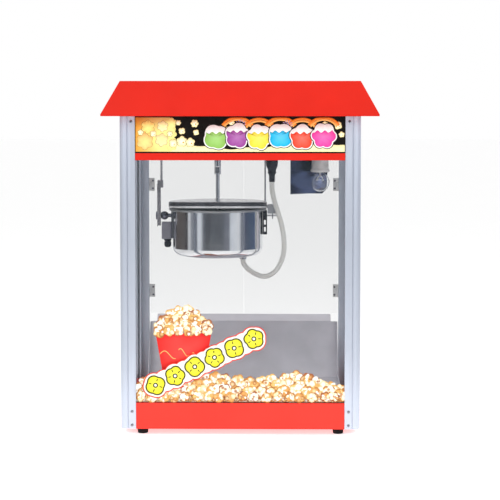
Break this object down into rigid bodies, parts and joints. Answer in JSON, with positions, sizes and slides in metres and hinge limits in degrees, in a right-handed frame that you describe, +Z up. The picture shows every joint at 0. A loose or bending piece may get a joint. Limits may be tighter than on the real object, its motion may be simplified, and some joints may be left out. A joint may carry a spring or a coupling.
{
  "type": "popcorn machine",
  "caption": "Counter-top popcorn machine: glass cabinet on a red base with aluminium posts, sloped roof and sign, a tipping stainless kettle, lamp, rear doors and pull-out tray.",
  "frame": {"origin": "on the table, under the middle of the machine's outline", "axes": "+Z up, -Y the customer's glass side, +Y the operator's door side, +X to the right seen from the front"},
  "size_m": [0.56, 0.42, 0.722],
  "materials": {
    "red_paint": "glossy red powder coat",
    "aluminium": "satin anodised extrusion",
    "rubber": "matt black",
    "glass": "clear, polished",
    "sign": "printed acrylic sign, abstract popcorn shapes",
    "stainless": "bright brushed stainless",
    "cast_aluminium": "spun, dull",
    "dark_steel": "dark polished steel",
    "black_plastic": "moulded black",
    "grey_plastic": "moulded grey",
    "ceramic": "white lamp holder",
    "braid": "woven heat-proof braid"
  },
  "bodies": {
    "root": {"base_pan": "red_paint", "base_front_panel": "red_paint", "fascia_front": "red_paint", "fascia_left": "red_paint", "fascia_right": "red_paint", "control_panel": "red_paint", "roof_cover": "red_paint", "post_front_left": "aluminium", "post_rear_left": "aluminium", "post_front_right": "aluminium", "post_rear_right": "aluminium", "foot_front_left": "rubber", "foot_rear_left": "rubber", "foot_front_right": "rubber", "foot_rear_right": "rubber", "front_glass": "glass", "left_glass": "glass", "right_glass": "glass", "lamp_bulb": "glass", "sign_panel": "sign", "ceiling_plate": "stainless", "hanger_plate_left": "stainless", "hanger_rod_left": "stainless", "hinge_lower_left_post_leaf": "stainless", "hinge_lower_right_post_leaf": "stainless", "hinge_upper_left_post_leaf": "stainless", "hinge_upper_right_post_leaf": "stainless", "hanger_right": "dark_steel", "gear_motor": "dark_steel", "lamp_guard": "dark_steel", "kettle_plug": "black_plastic", "kettle_socket": "black_plastic", "cord_gland": "black_plastic", "lamp_socket": "ceramic", "kettle_cable": "braid"},
    "kettle": {"kettle_shell": "stainless", "kettle_pan": "cast_aluminium", "heating_element": "dark_steel", "lid_strap": "stainless", "left_pivot": "dark_steel", "tilt_handle": "grey_plastic", "handle_knob": "black_plastic", "right_bracket": "black_plastic", "right_pivot": "stainless"},
    "lid_front": {"lid_front": "stainless"},
    "lid_rear": {"lid_rear": "stainless"},
    "agitator": {"agitator": "stainless"},
    "drive": {"drive_fork": "stainless"},
    "door_left": {"door_left": "glass", "door_knob_left": "black_plastic", "hinge_lower_left_door_leaf": "stainless", "hinge_upper_left_door_leaf": "stainless"},
    "door_right": {"door_right": "glass", "door_knob_right": "black_plastic", "hinge_lower_right_door_leaf": "stainless", "hinge_upper_right_door_leaf": "stainless"},
    "rocker_heat": {"rocker_heat": "black_plastic"},
    "rocker_motor": {"rocker_motor": "black_plastic"},
    "rocker_lamp": {"rocker_lamp": "black_plastic"},
    "tray": {"popcorn_tray": "stainless"}
  },
  "joints": [
    {"name": "kettle_tilt", "type": "hinge", "parent": "root", "child": "kettle", "pos_m": [-0.052, 0, 0.437], "axis": [-1, 0, 0], "range_deg": [0, 60], "deforming": ["kettle_cable"]},
    {"name": "lid_front_open", "type": "hinge", "parent": "kettle", "child": "lid_front", "pos_m": [-0.052, -0.014, 0.4655], "axis": [-1, 0, 0], "range_deg": [0, 75]},
    {"name": "lid_rear_open", "type": "hinge", "parent": "kettle", "child": "lid_rear", "pos_m": [-0.052, 0.014, 0.4655], "axis": [1, 0, 0], "range_deg": [0, 75]},
    {"name": "drive_spin", "type": "hinge", "parent": "root", "child": "drive", "pos_m": [-0.052, 0, 0.54], "axis": [0, 0, 1], "continuous": true},
    {"name": "agitator_spin", "type": "hinge", "parent": "kettle", "child": "agitator", "pos_m": [-0.052, 0, 0.4], "axis": [0, 0, 1], "continuous": true},
    {"name": "door_left_swing", "type": "hinge", "parent": "root", "child": "door_left", "pos_m": [-0.2115, 0.1866, 0.377], "axis": [0, 0, 1], "range_deg": [0, 150]},
    {"name": "door_right_swing", "type": "hinge", "parent": "root", "child": "door_right", "pos_m": [0.2115, 0.1866, 0.377], "axis": [0, 0, -1], "range_deg": [0, 150]},
    {"name": "rocker_heat_press", "type": "hinge", "parent": "root", "child": "rocker_heat", "pos_m": [0.06, 0.1828, 0.607], "axis": [1, 0, 0], "range_deg": [0, 16]},
    {"name": "rocker_motor_press", "type": "hinge", "parent": "root", "child": "rocker_motor", "pos_m": [0.095, 0.1828, 0.607], "axis": [1, 0, 0], "range_deg": [0, 16]},
    {"name": "rocker_lamp_press", "type": "hinge", "parent": "root", "child": "rocker_lamp", "pos_m": [0.13, 0.1828, 0.607], "axis": [1, 0, 0], "range_deg": [0, 16]},
    {"name": "tray_slide", "type": "slide", "parent": "root", "child": "tray", "axis": [0, 1, 0], "range_m": [0, 0.2]}
  ],
  "couplings": [
    {"joint": "drive_spin", "follows": "agitator_spin", "ratio": 1}
  ]
}
